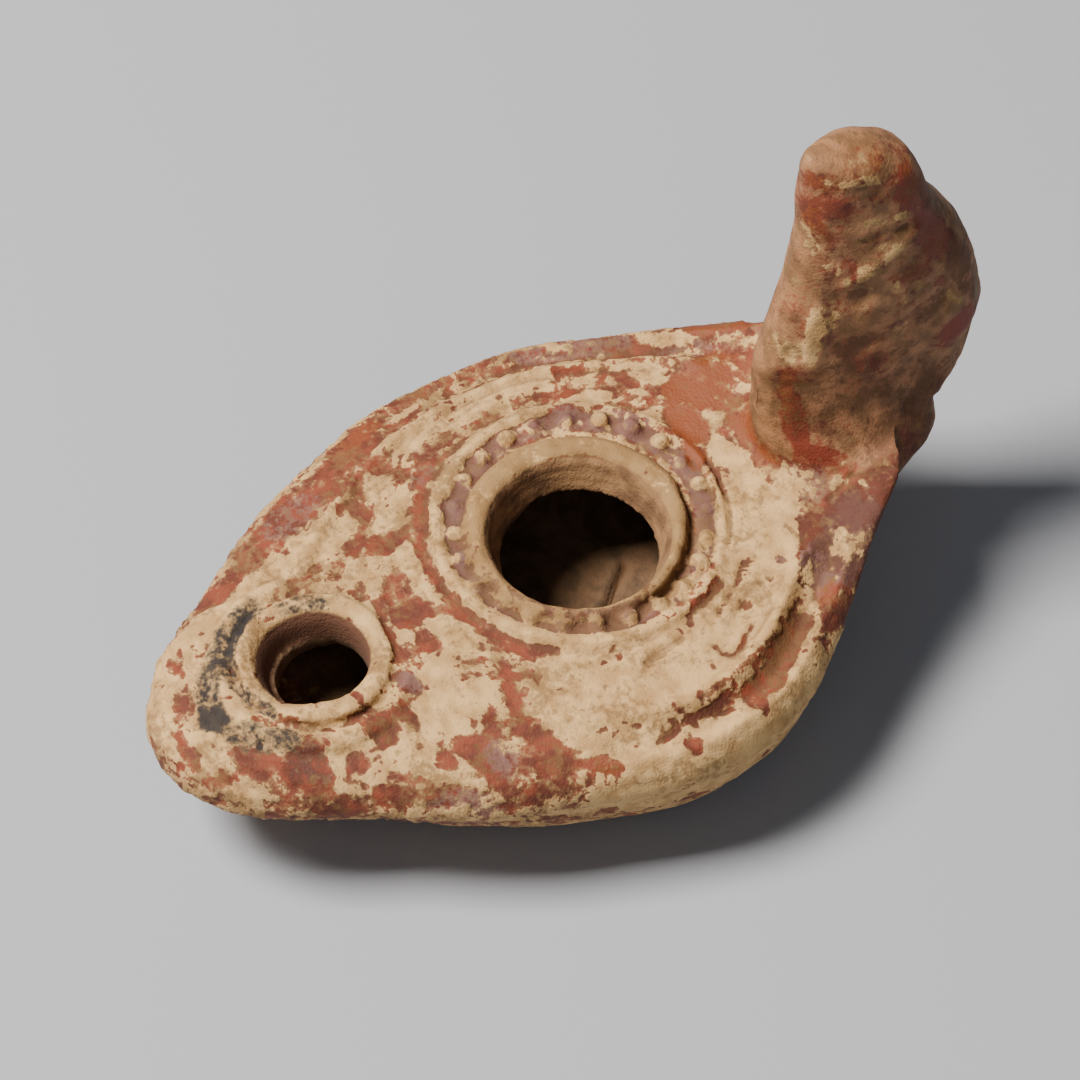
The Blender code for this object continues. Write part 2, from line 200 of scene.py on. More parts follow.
lamp = bpy.data.objects.new("lamp", clean_copy())
bpy.context.collection.objects.link(lamp)
skin = lamp.modifiers.new("skin", "REMESH")
skin.mode = "VOXEL"
skin.voxel_size = SKIN_STEP
soften = lamp.modifiers.new("soften", "SMOOTH")
soften.iterations = SOFTEN_STEPS
settle(lamp)
points = read_points(lamp.data)[0]
plain = (find_inside(lamp) > 0) | (points[:, 2] < PLAIN_BELOW)
plain[on_floor(points, *FLOOR_IN_SIGHT)] = False
group = lamp.vertex_groups.new(name="plain side")
for i in np.flatnonzero(plain):
    group.add([int(i)], 1.0, "REPLACE")
thin = lamp.modifiers.new("thin", "DECIMATE")
thin.vertex_group = "plain side"
thin.vertex_group_factor = PLAIN_WEIGHT
thin.ratio = 1 - (1 - PLAIN_LEFT) * float(plain.mean())
settle(lamp)


# Surface of the roof. Brick-red slip was brushed over the clay and fired on. In
# the ground it wore thin and a cream crust of lime and earth grew over it, which
# stands a little proud and has broken away in patches.
CRUST_THICKNESS = 0.17

# Centres of the filling hole, the bead band and the wick hole. Places are in
# millimetres: to the right, and towards the handle.
HOLE = (0.0, -0.6)
BAND = (-1.9, 0.9)
WICK = (0.0, -35.5)

# Rings of the roof, as (right, towards handle, inner radius, outer radius, from,
# to, amount), by degrees from the handle towards the right. Above 0 is crust,
# below is slip.
ROOF_RINGS = [
    (-0.8, -0.4, 10.5, 13.5, -180, 180, 1.3), (*BAND, 13.4, 16.2, -75, 35, -0.75),
    (*BAND, 13.4, 16.2, 85, 245, -1.2), (*BAND, 13.4, 16.2, 245, 290, -0.5),
    (*BAND, 13.0, 15.0, 35, 115, -0.6), (*BAND, 16.2, 18.1, 95, 285, 1.3),
    (*BAND, 18.2, 20.0, 128, 236, -0.55), (0, 0, 15.8, 25.5, 8, 128, 1.3),
    (*WICK, 5.5, 8.6, -180, 180, 1.0), (0, 0, 28.6, 33.0, 55, 118, 0.9),
    (0, 0, 21.0, 33.0, -130, -50, -0.25),
]

# Patches of crust, as (right, towards handle, half length, half width, degrees
# turned, amount)
CRUST_PATCHES = [
    (5.5, 20.0, 5.0, 2.8, -20, 1.4), (-1.5, 21.0, 3.0, 1.5, 10, 1.2), (-1.0, 26.5, 1.6, 1.0, 0, 0.5),
    (-9.5, 27.2, 1.5, 1.2, 0, 0.7), (22.5, 18.3, 2.4, 1.0, -25, 1.3), (29.5, 12.0, 2.6, 1.3, -60, 1.4),
    (31.0, 3.0, 4.5, 2.0, 90, 1.2), (28.5, 0.0, 3.0, 1.2, 80, 0.8), (15.8, 26.0, 2.0, 1.2, -10, 1.2),
    (-6.2, -19.6, 2.9, 1.2, -3, 1.6), (-1.2, -19.7, 1.4, 1.0, 0, 1.5), (5.6, -19.6, 3.3, 1.7, 15, 1.6),
    (3.0, -21.6, 1.4, 1.4, 0, 0.9), (8.0, -22.8, 1.2, 2.2, 10, 0.9), (12.8, -22.5, 3.0, 3.0, 0, 0.9),
    (12.6, -26.8, 2.4, 1.8, 0, 1.0), (15.5, -31.0, 2.4, 3.2, 20, 0.9), (16.5, -25.5, 1.6, 1.2, 0, 0.6),
    (-13.2, -19.0, 1.2, 3.0, 25, 1.2), (-17.6, -17.0, 2.6, 2.4, 0, 1.0), (-15.0, -26.0, 5.6, 1.9, 108, 1.5),
    (-12.6, -36.0, 6.5, 1.9, 104, 1.4), (-10.5, -46.0, 5.0, 1.8, 112, 1.2), (-5.0, -52.5, 4.5, 1.7, -25, 1.1),
    (-8.5, -24.0, 3.2, 1.4, 15, 0.35), (0.0, -28.6, 5.5, 0.9, 0, 0.9), (8.2, -37.5, 1.3, 3.4, 15, 1.0),
    (2.0, -46.0, 4.4, 1.5, -5, 0.7), (5.0, -51.6, 3.6, 0.8, 20, 0.6), (24.5, -9.0, 4.0, 6.0, 20, 1.1),
    (20.0, -14.0, 5.5, 2.6, -10, 1.0), (28.6, -7.0, 2.2, 3.6, 15, 1.1), (20.0, -28.5, 1.5, 3.5, -35, 0.5),
    (-24.5, 4.0, 2.4, 11.0, 0, 0.6), (-23.5, -10.0, 1.6, 4.0, 8, 0.6), (-18.5, 1.5, 1.5, 2.4, 0, 0.7),
    (-26.0, -22.0, 1.0, 5.0, 12, 0.35), (-18.5, 12.5, 4.0, 1.6, -35, 0.35), (-16.8, 19.0, 2.0, 1.4, 30, 0.5),
    (10.5, 33.0, 3.2, 2.6, 0, 0.7), (-20.8, 24.6, 2.6, 0.7, 60, 0.9), (19.0, 24.0, 0.9, 3.0, 40, 0.2),
    (11.8, -37.5, 1.8, 2.2, 0, 0.7), (15.8, -36.0, 1.0, 2.0, 20, 0.5), (-22.0, -4.0, 1.2, 3.0, 0, 0.5),
]

# Patches where the slip shows
SLIP_PATCHES = [
    (0.0, -22.3, 1.7, 2.8, 0, -1.6), (4.0, -22.9, 1.2, 1.1, 20, -2.2), (-10.8, -20.2, 1.4, 2.4, 5, -1.5),
    (-12.4, -23.6, 0.9, 1.6, 10, -1.2), (-16.6, -21.2, 1.7, 1.0, 10, -1.8), (7.9, -27.6, 1.7, 1.1, 20, -1.8),
    (7.4, -33.8, 1.2, 0.6, 5, -1.8), (12.4, -30.0, 1.8, 1.0, 15, -2.0), (12.2, -33.2, 1.9, 1.6, -20, -2.0),
    (14.0, -37.6, 1.2, 1.0, 30, -1.6), (11.6, -42.8, 1.9, 2.8, -25, -1.6), (20.5, -24.6, 3.4, 1.5, 20, -2.0),
    (19.0, -28.5, 1.4, 0.8, 30, -1.6), (17.5, -22.0, 2.2, 0.8, -35, -1.3), (15.0, -17.6, 4.5, 0.8, -12, -1.2),
    (22.5, -17.5, 3.6, 1.1, 30, -1.2), (27.3, -12.6, 3.0, 1.2, 55, -1.6), (25.2, -17.5, 2.4, 0.9, 60, -1.5),
    (13.0, 24.0, 1.9, 1.6, -20, -2.0), (12.6, 28.8, 2.6, 1.5, -10, -1.6), (22.6, 16.4, 1.4, 2.2, 25, -2.6),
    (24.6, 13.2, 1.5, 2.3, 20, -2.6), (26.9, 10.0, 1.5, 2.2, 20, -2.4), (28.4, 7.2, 2.0, 0.9, 0, -2.0),
    (29.8, -2.2, 1.4, 1.0, -10, -2.2), (27.5, -4.4, 0.9, 2.2, 12, -2.2), (27.0, -8.2, 0.4, 0.6, 0, -1.8),
    (13.9, 10.2, 0.8, 1.2, 25, -2.6), (15.0, 7.6, 0.7, 1.9, 22, -2.6), (16.4, 5.0, 0.9, 0.6, -30, -2.4),
    (17.0, 3.4, 0.35, 0.35, 0, -2.2), (16.9, -4.6, 0.4, 0.5, 0, -2.0), (16.6, -6.6, 0.3, 0.5, 0, -2.0),
    (19.7, -7.8, 0.4, 0.5, 0, -2.0), (17.4, -12.9, 0.4, 0.4, 0, -2.0), (10.4, 9.2, 0.3, 0.3, 0, -1.8),
    (-17.0, -12.0, 1.0, 2.6, 15, -1.3), (-13.0, -14.3, 3.4, 0.8, -25, -1.0), (-16.6, 7.2, 1.6, 1.6, 0, -1.0),
    (-14.4, 18.6, 0.8, 1.2, 0, -1.2), (-17.4, 16.4, 1.5, 0.8, 20, -1.0), (-17.8, 3.0, 1.6, 0.8, -10, -1.0),
    (-21.8, 20.5, 4.6, 0.8, 55, -1.3), (-24.6, 13.5, 5.0, 0.6, 65, -0.9), (-21.0, -16.5, 2.4, 4.5, 10, -0.2),
    (-24.0, -22.0, 3.5, 8.0, 18, -0.35), (-19.5, -31.5, 2.6, 6.0, 22, -0.7),
    (-15.5, -40.0, 1.5, 4.0, 25, -0.9),
    (-8.4, -49.2, 1.8, 0.9, -40, -1.0), (2.5, -53.4, 2.6, 0.7, 8, -1.1), (8.5, -47.5, 1.6, 2.6, -35, -0.9),
    (-18.2, 30.6, 4.5, 1.4, 50, -1.6), (16.5, -41.5, 1.0, 3.2, -32, -0.9), (18.8, -35.5, 0.8, 2.0, -30, -1.0),
    (22.0, 21.5, 3.2, 1.2, -52, -1.3), (3.0, 16.4, 1.0, 0.3, -15, -1.0), (-3.0, -25.8, 2.2, 0.7, 10, -0.7),
    (15.5, 26.5, 5.5, 4.5, -45, -0.9), (12.5, 34.5, 5.0, 4.5, -45, -1.4),
]

# Thin lines of slip in the crust: (width, amount, route)
SLIP_LINES = [
    (0.45, -1.9, [(12.2, 14.9), (12.9, 13.9), (14.1, 12.9), (14.6, 12.3)]),
    (0.40, -1.7, [(12.7, 15.2), (13.8, 14.0), (14.6, 12.3)]),
    (0.45, -1.8, [(15.4, 11.0), (16.3, 10.0), (17.0, 8.8)]),
    (0.60, -1.9, [(16.8, 11.6), (17.6, 12.4), (17.4, 11.3)]),
    (0.65, -1.9, [(20.2, 11.2), (21.0, 10.0), (22.0, 9.0), (22.5, 7.6), (21.9, 6.6), (20.6, 6.1)]),
    (0.50, -1.6, [(18.9, 9.3), (19.2, 9.1)]),
    (0.55, -1.5, [(-2.2, 18.6), (0.5, 18.5), (3.0, 18.0), (5.0, 17.2)]),
    (0.60, -1.6, [(26.3, 4.6), (27.0, 2.0), (27.2, -1.5)]),
    (0.50, -1.2, [(-11.6, -17.8), (-6.0, -18.1), (0.0, -17.9), (6.0, -16.9), (12.5, -13.4)]),
]

# Where the slip is another colour. Grey-purple is slip that was rubbed thin. The dark patches are thick slip
# in hollows and beside ridges, partly real and partly painted shade. Earth clings in the dirt patches, and
# the first of them, by the handle's foot, is painted shade.
PURPLE_PATCHES = [
    (15.5, 27.5, 5.0, 3.5, -45, 1.0), (17.5, 23.0, 3.0, 3.0, 0, 0.7),
    (-12.5, 12.5, 3.2, 1.8, 40, 1.0), (-6.0, 14.6, 3.5, 1.0, 15, 0.9), (0.5, 15.4, 3.0, 0.9, -5, 0.9),
    (6.5, 13.0, 3.0, 0.9, -35, 0.8), (17.2, 22.6, 4.2, 2.2, -55, 1.0), (7.0, 26.5, 3.2, 2.2, 10, 0.8),
    (13.4, 19.6, 3.4, 1.2, -50, 0.9), (18.6, 14.2, 2.8, 0.8, -55, 0.7), (-17.0, 26.0, 5.0, 2.2, 50, 0.7),
    (-26.5, 13.0, 8.0, 1.4, 68, 0.9), (-10.0, -12.5, 4.0, 1.6, -35, 0.8), (0.0, -14.6, 5.0, 1.0, 0, 0.8),
    (9.5, -10.5, 3.4, 1.0, 45, 0.9), (12.8, -1.5, 0.8, 4.0, 0, 0.8), (21.6, -22.6, 2.4, 1.8, 20, 1.0),
    (7.9, -27.6, 1.9, 1.2, 20, 0.9), (-20.0, -28.0, 3.0, 4.5, 15, 0.5), (23.8, -29.0, 1.6, 5.0, -28, 0.9),
    (-17.2, -12.2, 1.4, 2.6, 15, 0.6), (-16.8, 7.0, 1.8, 1.6, 0, 0.6), (12.0, -42.0, 2.0, 3.0, -25, 0.5),
]
DARK_AND_SHADE_PATCHES = [
    (12.6, 23.8, 2.4, 1.8, -20, 1.0), (22.6, 16.4, 1.6, 2.2, 25, 0.7), (24.8, 13.2, 1.7, 2.3, 20, 0.6),
    (27.0, 9.8, 1.6, 2.2, 20, 0.5), (27.0, 0.0, 0.9, 4.6, 0, 1.2), (12.3, -30.0, 2.0, 1.2, 15, 0.9),
    (12.2, -33.4, 2.2, 1.8, -20, 0.8), (11.6, -42.8, 2.0, 2.9, -25, 0.7), (20.6, -24.6, 3.6, 1.7, 20, 0.4),
    (18.0, 19.2, 4.2, 0.9, -48, 0.8), (3.0, 27.5, 1.6, 3.0, 0, 0.8), (27.4, -4.6, 0.9, 2.2, 12, 0.7),
    (16.4, 5.0, 1.0, 0.8, 0, 0.5), (13.9, 10.2, 1.0, 1.4, 25, 0.5), (15.0, 7.6, 0.9, 1.9, 22, 0.5),
]
# Dirt patches: the first, by the handle's foot, is painted shade where the handle shades the roof
DIRT_AND_SHADE_PATCHES = [(13.5, 30.0, 8.0, 6.0, -50, 0.25), (22.0, 17.0, 8.0, 2.0, -55, 0.4)]

# The dark slip of the roof runs down beside the handle's foot here, deepened with painted shade from the
# handle
BESIDE_FOOT = (14.5, 31.0, 8.0, 6.0, -45, 1.0)

# Slip that fired orange, near the handle and in a few spots on the shoulders
ORANGE_PATCHES = [
    (-12.4, 23.6, 3.6, 4.2, 15, 1.0), (-13.6, 20.4, 2.0, 1.6, 0, 1.0), (-8.3, 19.0, 3.0, 1.9, 5, 1.3),
    (-3.6, 17.3, 2.0, 1.2, -10, 1.2), (-5.4, 25.0, 3.4, 2.2, 10, 0.9), (-2.0, 23.8, 2.6, 1.2, -10, 0.7),
    (2.2, 24.0, 2.0, 1.4, -20, 0.8), (-19.0, 29.6, 5.0, 1.6, 50, 1.0), (20.2, 21.0, 2.0, 1.2, -50, 0.7),
    (27.6, -12.4, 2.0, 1.3, 55, 0.8), (-27.2, -16.0, 1.6, 4.0, 15, 0.6), (-9.5, 29.5, 3.4, 1.6, 10, 0.8),
    (-15.0, 27.5, 1.4, 3.0, -20, 0.5), (3.9, -22.9, 1.1, 1.0, 0, 0.4),
]

# Soot round the front of the wick hole, as (width, amount, route)
SOOT_LINES = [
    (2.9, 0.9, [(-9.4, -38.4), (-9.0, -41.0), (-7.4, -43.7), (-5.0, -46.2), (-2.0, -48.5), (1.2, -49.2)]),
    (2.8, 0.9, [(1.2, -49.8), (4.4, -48.2), (6.8, -45.6), (8.2, -43.2)]),
    (1.5, 0.9, [(-8.4, -39.8), (-6.8, -42.4), (-4.6, -44.2), (-1.6, -45.2), (1.6, -44.8), (4.4, -43.2)]),
    (1.9, 0.8, [(-7.6, -35.8), (-7.3, -33.4), (-6.4, -31.6)]),
]

# Relief on the roof too fine for the solid: (width, height, route). It is the
# worn outline of scrolls beside the handle, scratches, the crack by the handle's
# foot and the grooves that set the rim and the wick hole's collar apart. The rings
# are listed as the roof's rings are, with a height for the amount.
CARVED_LINES = [
    (0.8, -0.30, [(12.2, 14.9), (12.9, 13.9), (14.1, 12.9), (14.6, 12.3)]),
    (0.8, -0.25, [(15.4, 11.0), (16.3, 10.0), (17.0, 8.8)]),
    (0.9, -0.25, [(20.2, 11.2), (21.0, 10.0), (22.2, 9.0), (22.7, 7.4), (21.9, 6.3), (20.4, 6.0)]),
    (1.3, 0.28, [(17.4, 16.6), (18.6, 14.4), (20.0, 12.0), (21.0, 9.4)]),
    (1.1, 0.25, [(13.6, 15.6), (15.4, 13.0), (16.9, 10.4), (18.0, 8.0)]),
    (0.9, -0.40, [(-2.2, 18.4), (0.5, 18.3), (3.0, 17.8), (5.4, 16.8), (8.0, 15.4), (10.4, 13.2)]),
    (0.5, -0.45, [(7.2, 30.6), (9.0, 31.6), (9.7, 29.8), (10.2, 27.4)]),
    (0.5, -0.40, [(9.4, 31.0), (11.0, 33.0), (12.2, 35.4)]),
    (0.7, -0.35, [(10.4, 21.6), (12.6, 22.2), (14.6, 21.8)]),
    (1.2, -0.50, [(18.0, 3.0), (19.0, -2.0)]),
    (0.5, -0.30, [(-9.1, -35.0), (-8.9, -33.0)]),
    (0.6, 0.25, [(8.7, -34.2), (8.4, -37.2), (7.4, -40.0), (5.8, -42.2)]),
]
CARVED_RINGS = [
    (-0.8, -0.4, 12.9, 13.9, 5, 85, -0.45), (-0.8, -0.4, 12.0, 13.4, -140, 20, 0.35),
    (*BAND, 17.9, 19.0, 60, 300, -0.15),
]


# Surface of the handle. It was squeezed between the fingers and never smoothed,
# so it keeps their dents. A thin brown film of earth covers the slip, with pale
# smears. Places are in millimetres: towards the back, and up from the base.

# Patches, as (back, up, half length, half width, degrees turned, amount)
HANDLE_PALE = [
    (33.6, 70.8, 3.6, 0.7, -8, 1.2), (28.8, 61.0, 0.6, 2.6, 0, 0.9), (30.8, 57.3, 0.9, 1.1, 0, 1.0),
    (28.4, 46.6, 1.0, 4.0, -6, 1.2), (26.2, 44.6, 1.3, 1.6, 0, 0.9), (30.0, 50.0, 1.5, 2.2, -10, 0.9),
    (34.6, 57.4, 3.8, 0.9, 42, 1.0), (38.2, 60.2, 2.6, 1.1, -10, 0.8), (36.5, 64.6, 2.6, 1.1, 5, 0.7),
    (38.7, 64.0, 0.9, 0.7, 0, 1.0), (36.0, 52.6, 2.6, 3.2, 0, 0.5), (39.4, 50.6, 2.2, 3.0, 0, 0.45),
    (45.8, 47.0, 2.1, 0.8, -55, 1.1), (37.4, 45.8, 3.2, 1.4, 10, 0.45), (24.9, 48.0, 0.7, 4.0, 10, 0.7),
    (27.4, 55.0, 0.6, 4.0, 10, 0.5), (31.0, 27.8, 1.0, 1.0, 0, 0.4), (30.6, 31.0, 1.6, 1.2, 0, 0.4),
]
# Dark patches: darker slip, with painted shade in the finger dents and in the recess low on the handle
HANDLE_DARK_AND_SHADE = [
    (37.5, 26.5, 4.5, 5.0, 20, 0.9), (34.5, 24.0, 3.0, 3.0, 0, 0.7),
    (33.2, 53.2, 1.5, 1.1, 20, 0.7), (32.4, 44.6, 2.8, 1.5, 10, 0.8), (42.3, 47.2, 2.9, 2.0, 30, 0.7),
    (35.0, 41.6, 6.5, 1.6, 0, 0.5), (31.5, 36.5, 5.5, 3.6, 0, 0.35), (40.0, 35.0, 4.0, 4.5, 0, 0.5),
    (41.5, 28.5, 3.0, 6.0, -20, 0.8), (47.6, 50.0, 1.8, 6.5, 20, 0.8), (44.0, 62.0, 1.2, 5.0, 30, 0.5),
    (46.0, 33.0, 3.0, 4.0, 0, 0.5),
]
HANDLE_RED = [
    (43.2, 58.0, 1.9, 4.0, 30, 1.0), (41.0, 64.4, 1.6, 4.0, 30, 0.9), (33.0, 62.0, 3.0, 2.0, 0, 0.5),
    (32.0, 57.0, 1.8, 2.4, 0, 0.5), (46.6, 41.0, 3.0, 3.0, 0, 1.0), (26.2, 33.4, 1.3, 5.0, 5, 1.2),
    (28.4, 27.6, 2.2, 2.0, 0, 1.1), (37.6, 27.0, 3.0, 2.4, 0, 1.0), (31.2, 67.6, 2.6, 1.8, 0, 0.6),
    (37.4, 68.6, 2.8, 1.8, 0, 0.8), (33.2, 17.0, 1.0, 5.0, 0, 1.0), (27.0, 41.0, 2.4, 1.2, -20, 0.7),
    (38.5, 55.5, 1.4, 1.6, 0, 0.5),
]
HANDLE_ORANGE = [
    (43.9, 50.9, 0.6, 1.1, 30, 2.0), (33.0, 71.6, 5.0, 1.6, 8, 0.7), (42.5, 66.0, 1.6, 4.0, 35, 0.7),
    (29.5, 62.5, 1.2, 4.5, 4, 0.6), (33.6, 50.5, 2.0, 1.6, 30, 0.5), (44.8, 56.0, 1.2, 4.0, 20, 0.7),
    (37.0, 63.0, 2.6, 1.4, 30, 0.5), (40.4, 54.5, 2.0, 1.6, 0, 0.5), (25.6, 38.0, 1.0, 4.0, 0, 0.7),
]

# Dents and lumps, as (back, up, half length, half width, degrees turned, height),
# and folds, as (width, height, route)
HANDLE_LUMPS = [
    (37.6, 58.6, 4.0, 2.2, 30, 0.40), (33.2, 53.2, 2.2, 1.8, 20, -0.28), (32.2, 44.8, 3.4, 2.2, 10, -0.35),
    (28.8, 46.8, 1.3, 4.2, -6, 0.35), (26.4, 44.4, 1.0, 1.0, 0, -0.30), (42.2, 47.0, 3.2, 2.8, 30, -0.30),
    (46.4, 42.6, 3.2, 4.8, 0, 0.35), (35.4, 66.0, 3.8, 2.4, 0, -0.28), (34.6, 69.2, 2.2, 1.0, -10, -0.35),
    (40.0, 33.0, 6.0, 6.0, 0, -0.30), (37.0, 49.5, 3.4, 2.8, 0, 0.25), (31.6, 60.5, 2.6, 2.2, 0, -0.18),
]
HANDLE_FOLDS = [
    (2.6, -0.25, [(25.4, 40.0), (30.5, 40.4), (34.0, 41.8), (38.0, 41.0), (43.0, 39.4)]),
    (1.4, 0.22, [(32.2, 54.8), (34.6, 57.2), (37.2, 59.4), (40.2, 60.6)]),
    (1.0, -0.22, [(34.0, 62.0), (36.6, 62.8), (39.2, 62.2)]),
    (2.6, -0.50, [(40.5, 31.5), (44.5, 28.0), (51.5, 26.2)]),
]


# Where each finish lies. Slip, crust, soot and earth each get one number for each
# point of the skin, from the tables above and from random lumps in the clay. The
# tables' soft edges are shares of a patch or a line, millimetres, and degrees.
LUMP_FALL, LUMP_STEP = 1.0, 2.0
SEED_SHIFT = np.array([31.7, 17.3, 7.9])
PATCH_EDGE = (1.4, -0.7)
LINE_EDGE = (1.5, -0.9)
RING_EDGE = 0.35
RING_END = 14


def lumps(size, seed, octaves=3, places=None):
    """Uneven clay: a soft field, about -1 to 1, with lumps of a size in millimetres."""
    places = points if places is None else places
    return np.array([noise.fractal(place, LUMP_FALL, LUMP_STEP, octaves)
                     for place in (places / size + SEED_SHIFT * seed).tolist()])


def soft(value):
    """Go from 0 to 1 with level ends."""
    value = np.clip(value, 0, 1)
    return value * value * (3 - 2 * value)


def fade(value, start, width):
    """Go softly from 0 at a start to 1 a width above it, or below for a negative width."""
    return soft((value - start) / width)


def patch_field(across, along, patches):
    """Add up ellipses with soft edges."""
    total = np.zeros(len(across))
    for x, y, length, width, degrees, amount in patches:
        c, s = math.cos(math.radians(degrees)), math.sin(math.radians(degrees))
        far = np.hypot(((across - x) * c + (along - y) * s) / length,
                       ((along - y) * c - (across - x) * s) / width)
        total += amount * fade(far, *PATCH_EDGE)
    return total


def line_field(across, along, lines):
    """Add up lines of a width, drawn through a few points, with soft edges."""
    total = np.zeros(len(across))
    for width, amount, route in lines:
        nearest = np.full(len(across), np.inf)
        for (x0, y0), (x1, y1) in zip(route, route[1:]):
            run, climb = x1 - x0, y1 - y0
            part = ((across - x0) * run + (along - y0) * climb) / (run * run + climb * climb)
            part = np.clip(part, 0, 1)
            nearest = np.minimum(nearest, np.hypot(across - x0 - part * run,
                                                   along - y0 - part * climb))
        total += amount * fade(nearest / (width / 2), *LINE_EDGE)
    return total


def ring_field(across, along, rings):
    """Add up parts of rings with soft edges."""
    total = np.zeros(len(across))
    for x, y, inner, outer, start, stop, amount in rings:
        away = np.hypot(across - x, along - y)
        bearing = np.degrees(np.arctan2(across - x, along - y))
        middle, half = (start + stop) / 2, (stop - start) / 2
        off = np.abs((bearing - middle + 180) % 360 - 180)
        reach = 1.0 if half >= 180 else soft((half - off) / RING_END + 0.5)
        inward, outward = soft((away - inner) / RING_EDGE + 0.5), soft((outer - away) / RING_EDGE + 0.5)
        total += amount * reach * inward * outward
    return total


def read_links(mesh):
    """The two ends of each edge, and how many edges meet at each vertex."""
    ends = np.zeros(len(mesh.edges) * 2, dtype=np.int64)
    mesh.edges.foreach_get("vertices", ends)
    first, second = ends.reshape(-1, 2).T
    return first, second, np.maximum(np.bincount(ends, minlength=len(mesh.vertices)), 1)


def neighbours_mean(places, links):
    """The middle of each vertex's neighbours."""
    first, second, count = links
    total = np.zeros_like(places)
    for axis in range(3):
        total[:, axis] = (np.bincount(first, places[second, axis], len(places))
                          + np.bincount(second, places[first, axis], len(places)))
    return total / count[:, None]


# Eased places, wiped or worn smooth: the joins at the handle's foot and cap, and
# the wick hole's lip and bore. A join is an ellipse, by (right, back, up) or by
# (back, up). From here on, other pairs of numbers are a fade's start and width.
EASE_STEPS = 60
EASE_JOIN = 0.9
EASE_LIP = 0.35
EASE_BORE = 0.15
FOOT_JOIN = (8, 30, 20)
FOOT_JOIN_SIZE = (9, 11, 8)
FOOT_JOIN_EDGE = (1.3, -0.5)
CAP_JOIN = (44, 61.5)
CAP_JOIN_SIZE = (6, 5)
CAP_JOIN_EDGE = (1.3, -0.6)
LIP_OUT, LIP_UP = (9.0, -1.0), (20.5, 1.5)
EASED_BORE_OUT, EASED_BORE_UP = (7.4, -0.6), (14.5, 2)

points = read_points(lamp.data)[0]
inside = find_inside(lamp)
x, y, z = points.T
foot = np.sqrt(((np.abs(x) - FOOT_JOIN[0]) / FOOT_JOIN_SIZE[0]) ** 2
               + ((y - FOOT_JOIN[1]) / FOOT_JOIN_SIZE[1]) ** 2
               + ((z - FOOT_JOIN[2]) / FOOT_JOIN_SIZE[2]) ** 2)
cap = np.hypot((y - CAP_JOIN[0]) / CAP_JOIN_SIZE[0], (z - CAP_JOIN[1]) / CAP_JOIN_SIZE[1])
from_wick = np.hypot(x - WICK[0], y - WICK[1])
lip = fade(from_wick, *LIP_OUT) * fade(z, *LIP_UP)
joins = EASE_JOIN * np.maximum(fade(foot, *FOOT_JOIN_EDGE), fade(cap, *CAP_JOIN_EDGE))
ease = np.maximum(joins, EASE_LIP * lip) * (1 - inside)
ease = np.maximum(ease, EASE_BORE * fade(from_wick, *EASED_BORE_OUT) * fade(z, *EASED_BORE_UP))
links = read_links(lamp.data)
for _ in range(EASE_STEPS):
    points += (neighbours_mean(points, links) - points) * ease[:, None]
lamp.data.vertices.foreach_set("co", (points / MM).ravel())
lamp.data.update()

# Parts of the skin: how far up, back or right they start, or how far out from the
# middle of the bead band or of a hole. The tail is the handle's lower end, which
# runs down the back of the bowl.
HANDLE_UP, HANDLE_BACK = (25.5, 2.5), (21, 2)
TAIL_UP, TAIL_BACK = (0, 3), (34.5, 2.0)
TAIL_LEVEL, TAIL_LEVEL_AT, TAIL_SLOPE = 18.0, 36, 0.3
BESIDE_FOOT_RIGHT, BESIDE_FOOT_UP = (9.5, 2), (31, -3)
BORE_OUT, BORE_TOP, BORE_BOTTOM = (6.9, -0.6), (24.0, -1.5), (12, 2)
THROAT_OUT, THROAT_TOP, THROAT_BOTTOM = (11.7, -0.4), (25.0, -0.8), (15.5, 1.0)
ROOF_UP = (10.5, 2.5)
NEAR_SIDE_RIGHT = (-3.2, 2.5)
BEAD_OUT = (1.20, -0.4)

points, facing = read_points(lamp.data)
x, y, z = points.T
radius = np.hypot(x - BAND[0], y - BAND[1])
from_hole = np.hypot(x - HOLE[0], y - HOLE[1])
from_wick = np.hypot(x - WICK[0], y - WICK[1])
turn = np.degrees(np.arctan2(x, y))
above_tail = z - TAIL_LEVEL + (y - TAIL_LEVEL_AT) * TAIL_SLOPE
on_handle = np.maximum(fade(z, *HANDLE_UP) * fade(y, *HANDLE_BACK),
                       fade(above_tail, *TAIL_UP) * fade(y, *TAIL_BACK))
beside_foot = patch_field(x, y, [BESIDE_FOOT]) * fade(x, *BESIDE_FOOT_RIGHT) * fade(z, *BESIDE_FOOT_UP)
on_handle *= 1 - beside_foot
bore = fade(from_wick, *BORE_OUT) * fade(z, *BORE_TOP) * fade(z, *BORE_BOTTOM)
throat = fade(from_hole, *THROAT_OUT) * fade(z, *THROAT_BOTTOM) * fade(z, *THROAT_TOP)
roof = (1 - on_handle) * fade(z, *ROOF_UP) * (1 - inside) * (1 - throat)
near_side = on_handle * fade(x, *NEAR_SIDE_RIGHT)
far_side = on_handle - near_side
bead_turn = math.radians(360 / BEAD_COUNT)
from_bead = np.arctan2(y - BAND[1], x - BAND[0]) - BEAD_START
from_bead = from_bead - bead_turn * np.round(from_bead / bead_turn)
from_bead = np.hypot(radius * from_bead, radius - BEAD_RING_RADIUS * MM)
on_bead = roof * fade(from_bead, *BEAD_OUT)

